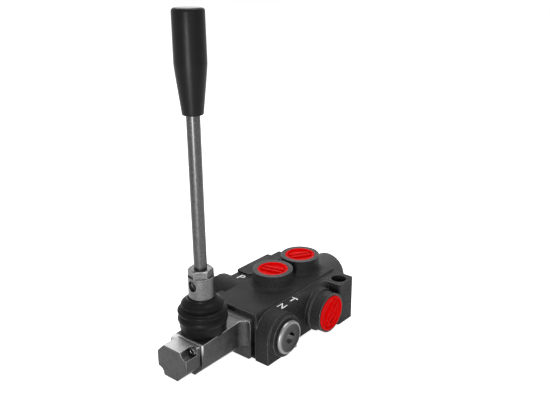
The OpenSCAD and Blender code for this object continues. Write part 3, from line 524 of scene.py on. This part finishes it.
wide_fold = [(16.8, foot_z), (17.5, 34.0), (18.1, 37.4), (18.4, 40.6), (18.4, 41.6), (18.7, 42.4),
             (19.2, 43.0), (19.45, 44.0), (19.3, 45.2), (18.7, 46.6), (18.0, 47.5), (17.5, 48.1)]
middle_fold = [(17.6, 48.9), (18.7, 49.4), (19.3, 50.2), (19.35, 51.0), (18.7, 52.0), (17.0, 53.0),
               (15.5, 53.6), (15.0, 54.1)]
upper_fold = [(15.2, 54.8), (16.1, 55.2), (16.6, 56.0), (16.3, 56.9), (15.0, 58.2), (13.2, 59.3)]
neck = [(11.9, 60.0), (11.4, 60.7), (11.3, 61.8), (10.8, 62.2), (10.4, 62.2)]
inner_wall = [(10.15, 61.8), (10.15, 57.0), (11.6, 56.5), (12.4, 54.0), (13.6, 50.0), (15.2, 45.0),
              (15.5, 40.0), (16.0, 36.0), (foot_r, foot_z)]
boot = turned_piece("boot_bellows", [(foot_r, foot_z)] + wide_fold + middle_fold + upper_fold + neck
                    + inner_wall, sides=48, loop=True)
refined(boot, 2)
for v in boot.data.vertices:
    seat = foot_z * mm
    if abs(v.co.x) < box_half_width:
        seat = turret_z * mm + box_fall * v.co.y
    v.co.z = max(v.co.z, seat)
settle(boot, rubber, (0.0, lever_y, 0.0), sharp=60.0)
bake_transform(boot)
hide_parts("lever_boot")
give(rubber, "lever_boot", "front_spool_seal", "rear_spool_seal", "end_cap_seal", "washer_port_n",
     "relief_seal")


# Closing plugs and the relief valve's cap: moulded red plastic. A plug has a
# ringed shank that is pressed into the port for transport, a flange, and a
# sunk face with two ribs to grip it by.
shank_r = 9.2
shank_ring_r = 9.5
shank_rings = 4
ring_pitch = 1.5
lip_round = 0.55
rib_w = 3.0
rib_pitch = 5.2
rib_low = -1.9
rib_high = -0.25
quarter = math.pi / 2.0

red = Finish("red_plastic", ior=1.06)
red.drive(Base_Color=red.mix(red.noise(150.0), (0.50, 0.0012, 0.0015, 1.0), (0.66, 0.002, 0.002, 1.0)),
          Roughness=red.span(red.noise(700.0), 0.3, 0.7, 0.34, 0.48))
red.relief((red.noise(1500.0), 0.00003), soft=0.0004)
give(red, "plug_port_a", "plug_port_b", "plug_port_t", "plug_port_p", "relief_cap")


def rounded_bar(name, length, width, low, high, across, edge=0.35):
    """A moulded rib: a cube pressed to size, with its edges rounded, sizes in mm."""
    bpy.ops.object.select_all(action="DESELECT")
    bpy.ops.mesh.primitive_cube_add(size=mm, location=(0.0, across * mm, (low + high) / 2.0 * mm))
    bar = bpy.context.object
    bar.name = name
    bar.scale = (length, width, high - low)
    bpy.ops.object.transform_apply(location=True, rotation=True, scale=True)
    bevel = bar.modifiers.new("edges", "BEVEL")
    bevel.width = edge * mm
    bevel.segments = 4
    bpy.ops.object.modifier_apply(modifier=bevel.name)
    return bar


def join_pieces(first, *others):
    """Joins finished pieces into the first one."""
    bpy.ops.object.select_all(action="DESELECT")
    for piece in (first, *others):
        piece.select_set(True)
    bpy.context.view_layer.objects.active = first
    bpy.ops.object.join()
    return first


def closing_plug(name, node, position, turn, rib_angle, flange_r=13.1, flange_t=2.58):
    """A press-in plug that stands for one CAD node, with its outer face at the position."""
    shank = [(8.6, -9.9), (shank_r, -9.4)]
    for ring in range(shank_rings):
        height = -8.6 + ring_pitch * ring
        shank += [(shank_r, height), (shank_ring_r, height + 0.35),
                  (shank_ring_r, height + 0.65), (shank_r, height + 1.0)]
    flange = [(shank_r, -flange_t), (flange_r, -flange_t)]
    lip = arc(flange_r - lip_round, -lip_round, lip_round, 0, 90, 5) + [(flange_r - 1.7, 0.0)]
    sunk_face = [(flange_r - 2.1, -0.2), (flange_r - 2.5, -1.0), (flange_r - 2.9, -1.5), (0.5, -1.62)]
    body = turned_piece(name, shank + flange + lip + sunk_face)
    reach = 2.0 * math.sqrt((flange_r - 2.7) ** 2 - 4.2 ** 2)
    ribs = [rounded_bar("rib", reach, rib_w, rib_low, rib_high, side * rib_pitch / 2.0) for side in (-1, 1)]
    piece = join_pieces(body, *ribs)
    piece.rotation_euler = (0.0, 0.0, math.radians(rib_angle))
    bpy.ops.object.transform_apply(location=True, rotation=True, scale=True)
    settle(piece, red, position, turn)
    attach(piece, "housing")
    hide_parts(node)


closing_plug("closing_plug_a", "plug_port_a", (0.0, 0.0, 0.053), (0.0, 0.0, 0.0), 12.0)
closing_plug("closing_plug_b", "plug_port_b", (0.0, 0.038, 0.053), (0.0, 0.0, 0.0), 58.0)
closing_plug("closing_plug_t", "plug_port_t", (0.0503, 0.0165, 0.020), (0.0, quarter, 0.0), 138.0,
             flange_r=15.3, flange_t=0.75)
closing_plug("closing_plug_p", "plug_port_p", (-0.0515, -0.0185, 0.020), (0.0, -quarter, 0.0), 70.0)


# Screws and small plugs: steel, cold formed and blackened in oil, screwed into the casting, the box and its
# end cap. Their edges are lightened, partly as handling wear and partly as a painted highlight.
dark_steel = Finish("dark_steel", metallic=1.0)
metal = dark_steel.mix(dark_steel.noise(90.0), grey(0.04, 0.001), grey(0.08, 0.001))
# Edges lightened: partly wear, partly a painted highlight.
metal = dark_steel.mix(dark_steel.edge(0.0006) * 0.8, metal, grey(0.5))
dark_steel.drive(Base_Color=metal,
                 Roughness=dark_steel.span(dark_steel.noise(600.0), 0.3, 0.7, 0.3, 0.42))
dark_steel.relief((dark_steel.noise(1500.0), 0.00003), soft=0.0005)
give(dark_steel, "plug_port_n", "end_cap_screws", "stem_bolt", "box_screws", "spring_cap_screws",
     "check_plug")


# Plug of port N: a turned steel screw plug with a hexagon socket, a flat face and a rounded rim, screwed
# down on its washer. Its rim carries a painted highlight, and its socket painted light and shade.
plug_place = (0.044, -0.0362, 0.020)
socket_af = 9.0
socket_low = -3.6
socket_high = 5.0
socket_turn = math.radians(12.0)


def hollow(piece, sides, across, low, high, turn=0.0):
    """Cuts a socket with a number of flats, its width across them and its depth in mm."""
    bpy.ops.object.select_all(action="DESELECT")
    bpy.ops.mesh.primitive_cylinder_add(
        vertices=sides, radius=across / 2.0 * mm / math.cos(math.pi / sides), depth=(high - low) * mm,
        location=(0.0, 0.0, (high + low) / 2.0 * mm), rotation=(0.0, 0.0, turn))
    cutter = bpy.context.object
    cut = piece.modifiers.new("socket", "BOOLEAN")
    cut.operation = "DIFFERENCE"
    cut.object = cutter
    bpy.context.view_layer.objects.active = piece
    bpy.ops.object.modifier_apply(modifier=cut.name)
    bpy.data.objects.remove(cutter, do_unlink=True)


thread = [(8.8, -14.0), (9.5, -13.3), (9.5, 1.1)]
skirt = [(12.6, 1.1), (12.7, 0.4), (13.3, 0.25), (13.8, 0.5), (13.9, 1.2)]
face = [(11.5, 3.55), (11.2, 3.4), (10.9, 3.3), (6.6, 3.3)]
steel_plug = turned_piece("steel_plug", thread + skirt + arc(12.1, 1.8, 1.8, 9, 90, 9) + face, sides=128)
hollow(steel_plug, 6, socket_af, socket_low, socket_high, turn=socket_turn)

plug_steel = Finish("plug_steel", metallic=1.0)
x, y, z = plug_steel.axes()
across = z - plug_place[2]
along = y - plug_place[1]
radius = (across * across + along * along).sqrt()
cloud = plug_steel.noise(140.0, 5.0)
metal = plug_steel.mix(cloud, grey(0.012), grey(0.034, 0.0005))
# Painted highlight: the rounded rim is made bright.
metal = plug_steel.mix(plug_steel.span(radius, 0.0114, 0.0124), metal, grey(0.2))
inside = (x < 0.0471) * (radius < 0.0056)
# Painted light and shade in the socket: its lower walls lit, its upper walls dark.
socket_light_and_shade = plug_steel.mix(across > -0.0006, grey(0.6), grey(0.01))
metal = plug_steel.mix(inside, metal, socket_light_and_shade)
plug_steel.drive(Base_Color=metal, Roughness=plug_steel.span(cloud, 0.3, 0.7, 0.3, 0.42))
plug_steel.relief((plug_steel.noise(1500.0), 0.00005), soft=0.0003)
settle(steel_plug, plug_steel, plug_place, (0.0, quarter, 0.0), sharp=30.0)
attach(steel_plug, "housing")
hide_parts("plug_port_n")
